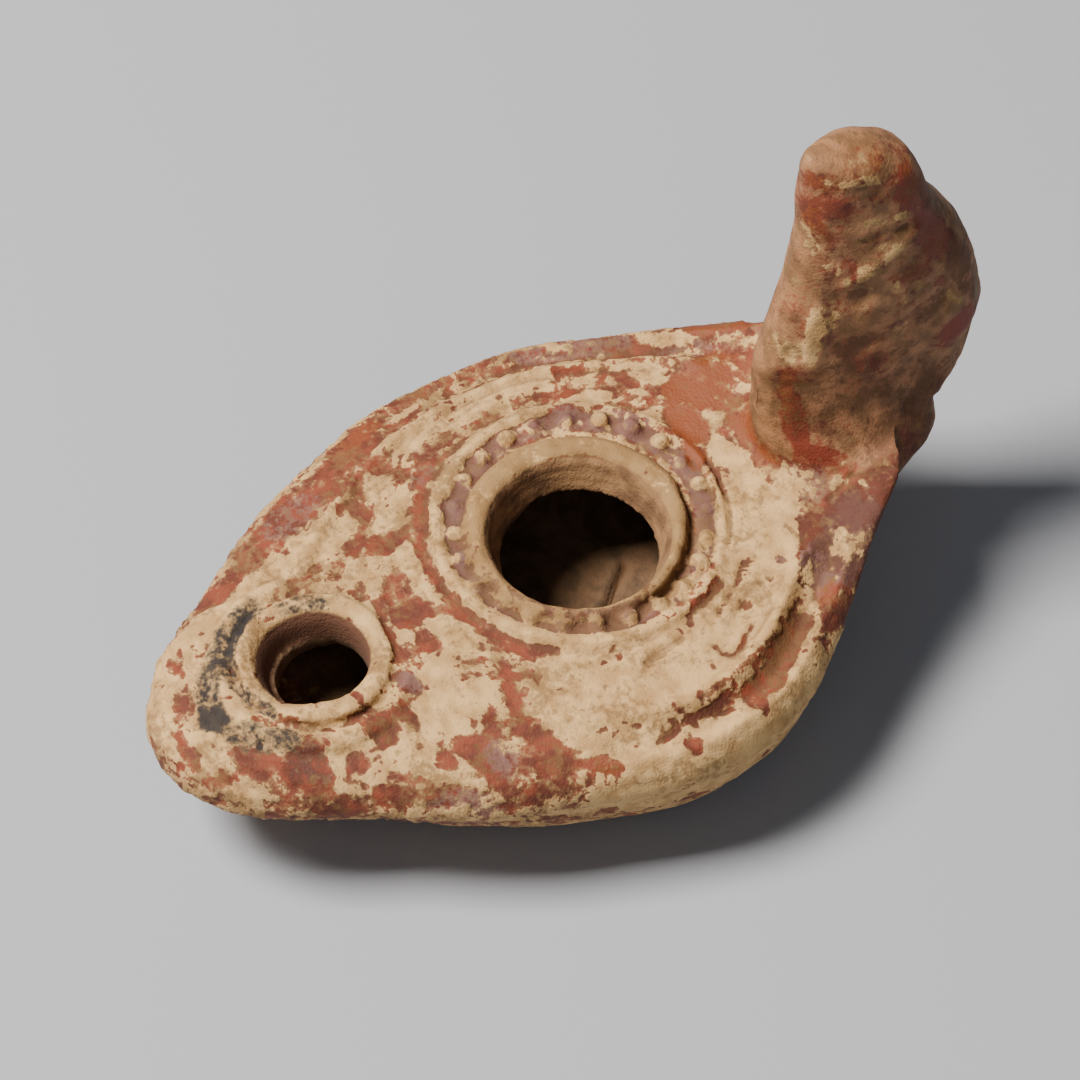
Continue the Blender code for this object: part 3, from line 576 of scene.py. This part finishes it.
# The crust breaks along ragged edges, so each patch's edge is pushed to and fro,
# by shares of a broad drift and a fine one. Lump sizes are in millimetres.
BROAD_DRIFT, BROAD_DRIFT_SIZE = 0.9, 3.2
FINE_DRIFT, FINE_DRIFT_SIZE = 0.6, 1.2
PATCH_DRIFT, CRUST_DRIFT, RING_DRIFT, LINE_DRIFT, CARVED_DRIFT = 0.5, 0.9, 0.35, 0.2, 0.15
WIDE_LUMP, MID_LUMP = 3.6, 1.2
drift_x = (BROAD_DRIFT * lumps(BROAD_DRIFT_SIZE, seed=1)
           + FINE_DRIFT * lumps(FINE_DRIFT_SIZE, seed=2, octaves=2))
drift_y = (BROAD_DRIFT * lumps(BROAD_DRIFT_SIZE, seed=3)
           + FINE_DRIFT * lumps(FINE_DRIFT_SIZE, seed=4, octaves=2))
wide, mid = lumps(WIDE_LUMP, seed=5), lumps(MID_LUMP, seed=6, octaves=2)


def drifted(across, along, share):
    """Places pushed to and fro by a share of the drift."""
    return across + share * drift_x, along + share * drift_y


# Wear runs round the body, so part of it is drawn out along the outline
NOZZLE_STRETCH = 0.62
WEAR_LENGTH, WEAR_HEIGHT = 5.0, 2
STREAK_LUMP = 1.3
along_nozzle = np.where(y < 0, y * NOZZLE_STRETCH, y)
reach = np.hypot(x, along_nozzle)
run = np.arctan2(x, along_nozzle) * reach
streak = lumps(STREAK_LUMP, seed=11,
               places=np.stack([reach, run / WEAR_LENGTH, z / WEAR_HEIGHT], axis=1))

# The crust's field is above 0 where crust lies, and below where slip shows. These
# are its level, and what lumps, beads and the other finishes add to it or take.
CRUST_LEVEL = 0.05
WIDE_SHARE, MID_SHARE, STREAK_SHARE = 0.60, 0.45, 0.80
SOOT_SHARE, PALE_SHARE, DARK_SHARE, HANDLE_SHARE = 0.9, 1.3, -0.6, -1.35
BEAD_SHARE, BEAD_WEAR = 1.1, 1.4
FLAKE_LUMP, FLAKE_START = 1.5, (0.42, 0.2)
CHIP_LUMP, CHIP_START, CHIP_SHARE = 1.7, (0.40, 0.2), 1.3
FAR_SIDE_SHARE = 0.25
on_roof, on_side = drifted(x, y, PATCH_DRIFT), drifted(y, z, PATCH_DRIFT)
handle_orange = patch_field(*on_side, HANDLE_ORANGE)
orange = roof * patch_field(*on_roof, ORANGE_PATCHES) + near_side * handle_orange
placed = (ring_field(*drifted(x, y, RING_DRIFT), ROOF_RINGS)
          + patch_field(*drifted(x, y, CRUST_DRIFT), CRUST_PATCHES)
          + patch_field(*on_roof, SLIP_PATCHES)
          + line_field(*drifted(x, y, LINE_DRIFT), SLIP_LINES))
pale = near_side * patch_field(*on_side, HANDLE_PALE) + FAR_SIDE_SHARE * far_side
soot = roof * line_field(*on_roof, SOOT_LINES)
flakes = (fade(lumps(FLAKE_LUMP, seed=14, octaves=2), *FLAKE_START)
          - CHIP_SHARE * fade(lumps(CHIP_LUMP, seed=13, octaves=2), *CHIP_START))
dark_and_shade = near_side * patch_field(*on_side, HANDLE_DARK_AND_SHADE) + FAR_SIDE_SHARE * far_side
crust = (CRUST_LEVEL + WIDE_SHARE * wide + MID_SHARE * mid + STREAK_SHARE * streak
         + roof * (placed + SOOT_SHARE * soot - orange) + roof * flakes
         + HANDLE_SHARE * on_handle + PALE_SHARE * pale + DARK_SHARE * dark_and_shade
         + on_bead * (BEAD_SHARE + BEAD_WEAR * wide))

# The film of earth on the handle is thinner where red or orange slip shows. The
# band under the beads is grey-purple all round.
FILM_LEVEL, FILM_UNEVEN, FILM_LUMP = 0.85, 0.5, 6.0
FILM_OFF_RED, FILM_OFF_ORANGE = 0.6, 0.7
# Beside the handle's foot the dark slip is deepened with painted shade
BESIDE_FOOT_DARK_AND_SHADE = 1.6
BAND_OUTER, BAND_INNER = (16.6, -0.8), (13.0, 0.8)
SOOT_STREAK = 0.5
red = near_side * patch_field(*on_side, HANDLE_RED)
film = (on_handle * (FILM_LEVEL + FILM_UNEVEN * lumps(FILM_LUMP, seed=9)) - FILM_OFF_RED * red
        - FILM_OFF_ORANGE * near_side * handle_orange)
dark_and_shade += roof * patch_field(*on_roof, DARK_AND_SHADE_PATCHES) + BESIDE_FOOT_DARK_AND_SHADE * beside_foot
purple = roof * patch_field(*on_roof, PURPLE_PATCHES)
purple += roof * fade(radius, *BAND_OUTER) * fade(radius, *BAND_INNER)
soot = soot * (1 + SOOT_STREAK * streak)


# Relief of the skin. The crust stands proud and the hand-made clay is uneven, with
# carved lines, the handle's dents, and wiping marks round the far side, the throat
# and the nozzle. Sizes and heights are in millimetres.
CRUST_EDGE, CRUST_EDGE_TORN = 0.35, 0.2
LUMP_SIZE, LUMP_HEIGHT = 5.0, 0.16
GRAIN_SIZE, GRAIN_HEIGHT = 1.1, 0.045
SMOOTHED = 0.6
STRIPE_GAP, STRIPE_HEIGHT = 1.15, 0.06
STRIPES_FIRST, STRIPES_LAST, STRIPES_OUT = (-40, -20), (-150, 20), (18.5, 1.5)
RIPPLE_GAP, RIPPLE_HEIGHT = 1.5, 0.10
RIPPLES_OUT, RIPPLES_BACK = (12.5, 1.5), (-42, -4)
WIPE_GAP, WIPE_HEIGHT = 1.3, 0.035
MARK_WAVER, WIPE_WAVER = 2.5, 3.0
RIM_LUMP, RIM_UNEVEN = 2.4, 0.22
RIM_OUT, RIM_UP = (13.8, -0.6), (22, 1.5)
HANDLE_RECESS = 0.45
RECESS_TOP, RECESS_BOTTOM = (40.5, -2.5), (27, 4)
SOOT_GRIT = 0.14
GOUGE = [(0.7, -0.9, [(-5.4, 9.3), (-0.6, 4.0)])]
GOUGE_RIDGE = [(0.9, 0.45, [(-6.6, 8.6), (-1.8, 3.3)])]
GOUGE_UP = (9, -2)


def marks(place, gap, waver):
    """Even marks of a gap, which waver with the clay's lumps."""
    return np.sin(2 * math.pi * place / gap + waver * wide)


high = soft((crust + CRUST_EDGE_TORN * mid) / CRUST_EDGE + 0.5)
stripes = roof * fade(turn, *STRIPES_FIRST) * fade(turn, *STRIPES_LAST) * fade(radius, *STRIPES_OUT)
ripples = roof * fade(from_wick, *RIPPLES_OUT) * fade(y, *RIPPLES_BACK)
rim = fade(from_hole, *RIM_OUT) * fade(z, *RIM_UP) * (1 - throat)
lift = (CRUST_THICKNESS * high * (1 - on_handle) * (1 - throat)
        + LUMP_HEIGHT * lumps(LUMP_SIZE, seed=7) * (1 - SMOOTHED * throat)
        + GRAIN_HEIGHT * lumps(GRAIN_SIZE, seed=8, octaves=2) * (1 - SMOOTHED * on_handle)
        + STRIPE_HEIGHT * stripes * marks(radius, STRIPE_GAP, MARK_WAVER)
        + RIPPLE_HEIGHT * ripples * marks(from_wick, RIPPLE_GAP, MARK_WAVER)
        + RIM_UNEVEN * rim * lumps(RIM_LUMP, seed=15, octaves=2)
        + WIPE_HEIGHT * throat * marks(z, WIPE_GAP, WIPE_WAVER)
        + roof * line_field(*drifted(x, y, CARVED_DRIFT), CARVED_LINES)
        + roof * ring_field(x, y, CARVED_RINGS)
        + near_side * patch_field(y, z, HANDLE_LUMPS)
        + near_side * line_field(y, z, HANDLE_FOLDS)
        - HANDLE_RECESS * near_side * fade(z, *RECESS_TOP) * fade(z, *RECESS_BOTTOM)
        + SOOT_GRIT * soot * mid)
lift = lift * (1 - inside) * (1 - bore)
lift += inside * fade(z, *GOUGE_UP) * line_field(x, y, GOUGE + GOUGE_RIDGE)
shaped = points + facing * lift[:, None]

# The wick hole's lip is worn wide and low at the front, where the flame stood
FLAME_SIDE = (0.45, 0.89)
WORN_OUT, WORN_FRONT, WORN_UP = (9.6, -3.2), (-0.1, 0.9), (15.0, 5)
LIP_WIDEN = 0.5
LIP_DROP = 0.9
NO_CLOSER = 0.1
from_axis = np.maximum(from_wick, NO_CLOSER)
to_front = -(FLAME_SIDE[0] * (x - WICK[0]) + FLAME_SIDE[1] * (y - WICK[1])) / from_axis
worn = roof * fade(from_wick, *WORN_OUT) * fade(to_front, *WORN_FRONT) * fade(z, *WORN_UP)
shaped[:, 0] += LIP_WIDEN * worn * (x - WICK[0]) / from_axis
shaped[:, 1] += LIP_WIDEN * worn * (y - WICK[1]) / from_axis
shaped[:, 2] -= LIP_DROP * worn
shaped = np.clip(shaped, np.array(solid_low) * MM, np.array(solid_high) * MM)
lamp.data.vertices.foreach_set("co", (shaped / MM).ravel())
lamp.data.update()


# Layers on the skin. Each finish's field is stored on the mesh for the material, with dirt under the rim, and
# darkening in hollows and by the handle's foot that is partly dirt and partly painted shade. A placed finish
# is pulled well below 0 where it is absent, so no grain shows it.
HOLLOW_STEPS = 4
DIRT_LEVEL, DIRT_UNEVEN, DIRT_LUMP = 0.12, 0.8, 5.0
RIM_DIRT, RIM_DIRT_OUT = 1.1, (14.2, -0.8)
DIRT_UP = (15, 2)
BESIDE_FOOT_CLEAN = 0.4
PLACED = ("film", "dark_and_shade", "red", "purple", "orange", "soot")
PULL_BELOW, PULL_WITHIN = 1.2, 0.35
places, facing = read_points(lamp.data)
# How deep each point lies below its neighbours; the hollows are darkened by it, partly dirt and partly
# painted shade
around = places
for _ in range(HOLLOW_STEPS):
    around = neighbours_mean(around, links)
hollow_dirt_and_shade = ((around - places) * facing).sum(axis=1) * (1 - inside)
# Dirt, with painted shade in the patch by the handle's foot
dirt_and_shade = (1 - inside) * (DIRT_LEVEL + DIRT_UNEVEN * lumps(DIRT_LUMP, seed=12, octaves=4)
                       + RIM_DIRT * fade(from_hole, *RIM_DIRT_OUT)
                       + fade(z, *DIRT_UP) * patch_field(*on_roof, DIRT_AND_SHADE_PATCHES)
                       - BESIDE_FOOT_CLEAN * beside_foot)
# Several of these fields carry painted shade: the hollows, the dark slip, the dirt by the handle's foot, the
# wick hole's bore and the chamber inside
finishes = {"crust": crust, "film": film, "dark_and_shade": dark_and_shade, "red": red, "purple": purple,
            "orange": orange, "soot": soot, "hollow_dirt_and_shade": hollow_dirt_and_shade, "dirt_and_shade": dirt_and_shade, "throat": throat,
            "wick bore shade": bore, "inside": inside}
for name, values in finishes.items():
    if name in PLACED:
        values = values - PULL_BELOW * (1 - soft(values / PULL_WITHIN))
    layer = lamp.data.attributes.new(name, "FLOAT", "POINT")
    layer.data.foreach_set("value", values.astype(np.float32))


# Slip-coated earthenware, buried for long. The slip is matt brick red, the crust on it cream and chalky, and
# the throat bare buff clay. Inside the chamber the buff clay is painted darker as painted shade, and the wick
# hole's bore is painted dark as painted shade. The handle is a little less matt, where hands rubbed its slip.
BASE_ROUGHNESS = 0.78
BUMP_STRENGTH = 0.50
BUMP_DEPTH = 0.00025
CRUST_BUMP = 0.5

# The clay's real grain is finer than the camera can see, so the finest of the
# three sizes, in millimetres, is drawn as coarse as it needs to be to show
GRAINS = (2.6, 0.9, 0.35)
BLOTCH, GRAIN, FINE_GRAIN = GRAINS
GRAIN_DETAIL = 3.0

# Tones of a colour: (name, from, to, light colour, deep colour)
TONES = [
    ("slip", 0.38, 0.62, "#803b22", "#5e2a18"),
    ("earth", 0.35, 0.65, "#b2835a", "#86633f"),
    ("cream", 0.36, 0.66, "#d0a971", "#b28b58"),
    ("buff", 0.35, 0.70, "#96704a", "#6c4d32"),
    # the shade tones are the buff painted darker, as painted shade for the chamber
    ("shade", 0.35, 0.70, "#74563b", "#54402b"),
]

# Layers, each over the one before: (field, raggedness, from, to, strength, colour,
# roughness)
LAYERS = [
    ("purple", 1.2, 0.20, 0.95, 0.75, "#7a5a52", 0.88),
    ("red", 1.0, 0.25, 0.85, 0.85, "#7f3320", 0.65),
    ("orange", 1.0, 0.15, 0.75, 0.95, "#7f3e19", 0.65),
    ("film", 0.7, 0.10, 0.95, 0.78, "earth", 0.70),
    # dark slip, partly painted shade
    ("dark_and_shade", 0.9, 0.15, 0.95, 0.68, "#4a2416", 0.90),
    ("crust", 1.4, -0.80, 0.45, 0.40, "cream", 0.80),
    ("crust", 1.1, -0.04, 0.10, 1.00, "cream", 0.92),
    # dirt, with painted shade by the handle's foot
    ("dirt_and_shade", 1.2, 0.00, 0.95, 0.66, "#74542f", 0.92),
    # hollows: partly dirt, partly painted shade
    ("hollow_dirt_and_shade", 0.0, 0.02, 0.14, 0.60, "#583a24", 0.92),
    ("soot", 1.1, -0.10, 1.40, 0.95, "#1f1f22", 0.90),
    ("throat", 0.0, 0.30, 0.70, 1.00, "buff", 0.90),
    # painted shade on the wick hole's bore
    ("wick bore shade", 0.0, 0.20, 0.80, 1.00, "#6b4733", 0.90),
    # the chamber inside: buff clay with painted shade
    ("inside", 0.0, 0.30, 0.70, 1.00, "shade", 0.90),
]
RAGGED_GRAIN, RAGGED_MIDDLE = 2.4, 1.7


def linear(hex_colour):
    """An sRGB hex colour as linear red, green, blue and alpha."""
    parts = [int(hex_colour[i:i + 2], 16) / 255 for i in (1, 3, 5)]
    return [c / 12.92 if c <= 0.04045 else ((c + 0.055) / 1.055) ** 2.4 for c in parts] + [1.0]


earthenware.use_nodes = True
nodes = earthenware.node_tree
clay = nodes.nodes["Principled BSDF"]
where = add_node(nodes, "ShaderNodeTexCoord").outputs["Object"]
grains = {}
for size in GRAINS:
    grains[size] = add_node(nodes, "ShaderNodeTexNoise", None,
                            {"Vector": where, "Scale": MM / size, "Detail": GRAIN_DETAIL}).outputs["Fac"]
tones = {}
for name, low, high, light, deep in TONES:
    share = add_node(nodes, "ShaderNodeMapRange", {"interpolation_type": "SMOOTHSTEP"},
                     {"Value": grains[BLOTCH], "From Min": low, "From Max": high})
    tones[name] = add_node(nodes, "ShaderNodeMix", {"data_type": "RGBA"},
                           {0: share.outputs["Result"], 6: linear(light), 7: linear(deep)}).outputs[2]

# The ragged edge between two layers
ragged = add_node(nodes, "ShaderNodeMath", {"operation": "MULTIPLY_ADD"},
                  {0: grains[GRAIN], 1: RAGGED_GRAIN, 2: grains[FINE_GRAIN]}).outputs[0]
ragged = add_node(nodes, "ShaderNodeMath", {"operation": "SUBTRACT"},
                  {0: ragged, 1: RAGGED_MIDDLE}).outputs[0]
colour, rough, cover = tones["slip"], BASE_ROUGHNESS, {}
for name, tear, low, high, strength, over, dull in LAYERS:
    stored = add_node(nodes, "ShaderNodeAttribute", {"attribute_name": name})
    torn = add_node(nodes, "ShaderNodeMath", {"operation": "MULTIPLY_ADD"},
                    {0: ragged, 1: tear, 2: stored.outputs["Fac"]})
    share = add_node(nodes, "ShaderNodeMapRange", {"interpolation_type": "SMOOTHSTEP"},
                     {"Value": torn.outputs[0], "From Min": low, "From Max": high, "To Max": strength})
    cover[name] = share.outputs["Result"]
    paint = tones[over] if over in tones else linear(over)
    colour = add_node(nodes, "ShaderNodeMix", {"data_type": "RGBA"},
                      {0: cover[name], 6: colour, 7: paint}).outputs[2]
    rough = add_node(nodes, "ShaderNodeMix", {"data_type": "FLOAT"},
                     {0: cover[name], 2: rough, 3: dull}).outputs[0]
nodes.links.new(colour, clay.inputs["Base Color"])
nodes.links.new(rough, clay.inputs["Roughness"])
height = add_node(nodes, "ShaderNodeMath", {"operation": "MULTIPLY_ADD"},
                  {0: cover["crust"], 1: CRUST_BUMP, 2: grains[FINE_GRAIN]})
bump = add_node(nodes, "ShaderNodeBump", None,
                {"Height": height.outputs[0], "Strength": BUMP_STRENGTH, "Distance": BUMP_DEPTH})
nodes.links.new(bump.outputs[0], clay.inputs["Normal"])

lamp.data.materials.clear()
lamp.data.materials.append(earthenware)
lamp.data.shade_smooth()
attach(lamp, "root")
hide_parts("lamp_body")


# Floor, lights and camera. A plain pale sheet lies under the lamp, lit softly
# from the left, and the camera looks down on the lamp's right-hand side. Lengths
# are in metres, the camera's turns in degrees, and its lens in millimetres.
FLOOR_SIZE = 3.0
FLOOR_COLOUR = "#a6aab1"
FLOOR_ROUGHNESS = 0.8
TARGET = Vector((0.0, 0.0, 0.017))
LIGHTS = [
    ("key light", (-0.22, -0.48, 0.96), 0.36, 28.0, "#fff8f0"),
    ("fill light", (0.7, -0.3, 0.7), 0.9, 1.2, "#f4f8ff"),
]
ROOM_COLOUR = "#dfe3ea"
ROOM_STRENGTH = 0.11
CAMERA_TURN = 60.3
CAMERA_RISE = 54.1
CAMERA_ROLL = 0.8
CAMERA_AWAY = 0.624
CAMERA_SLIDE = (-0.00495, 0.00334)
LENS = 175.5
SENSOR_WIDTH = 36

bpy.ops.mesh.primitive_plane_add(size=FLOOR_SIZE)
floor = bpy.context.object
floor.name = "pale floor"
paper = bpy.data.materials.new("pale paper")
paper.use_nodes = True
paper.node_tree.nodes["Principled BSDF"].inputs["Base Color"].default_value = linear(FLOOR_COLOUR)
paper.node_tree.nodes["Principled BSDF"].inputs["Roughness"].default_value = FLOOR_ROUGHNESS
floor.data.materials.append(paper)

# Square soft lights that point at the lamp: (name, place, size, watts, colour)
for name, place, size, watts, colour in LIGHTS:
    light = bpy.data.lights.new(name, "AREA")
    light.size = size
    light.energy = watts
    light.color = linear(colour)[:3]
    light_stand = bpy.data.objects.new(name, light)
    bpy.context.collection.objects.link(light_stand)
    light_stand.location = place
    light_stand.rotation_euler = (TARGET - Vector(place)).to_track_quat("-Z", "Y").to_euler()
world = bpy.data.worlds.new("studio")
world.use_nodes = True
world.node_tree.nodes["Background"].inputs["Color"].default_value = linear(ROOM_COLOUR)
world.node_tree.nodes["Background"].inputs["Strength"].default_value = ROOM_STRENGTH
bpy.context.scene.world = world

turn = math.radians(CAMERA_TURN)
rise = math.radians(CAMERA_RISE)
roll = math.radians(CAMERA_ROLL)
away = Vector((math.sin(turn) * math.cos(rise), -math.cos(turn) * math.cos(rise), math.sin(rise)))
level = Vector((math.cos(turn), math.sin(turn), 0))
upright = away.cross(level)
right = math.cos(roll) * level + math.sin(roll) * upright
up = -math.sin(roll) * level + math.cos(roll) * upright
camera_data = bpy.data.cameras.new("camera")
camera_data.lens = LENS
camera_data.sensor_width = SENSOR_WIDTH
camera = bpy.data.objects.new("camera", camera_data)
bpy.context.collection.objects.link(camera)
place = TARGET + CAMERA_AWAY * away + CAMERA_SLIDE[0] * right + CAMERA_SLIDE[1] * up
camera.matrix_world = Matrix.Translation(place) @ Matrix((right, up, away)).transposed().to_4x4()
bpy.context.scene.camera = camera
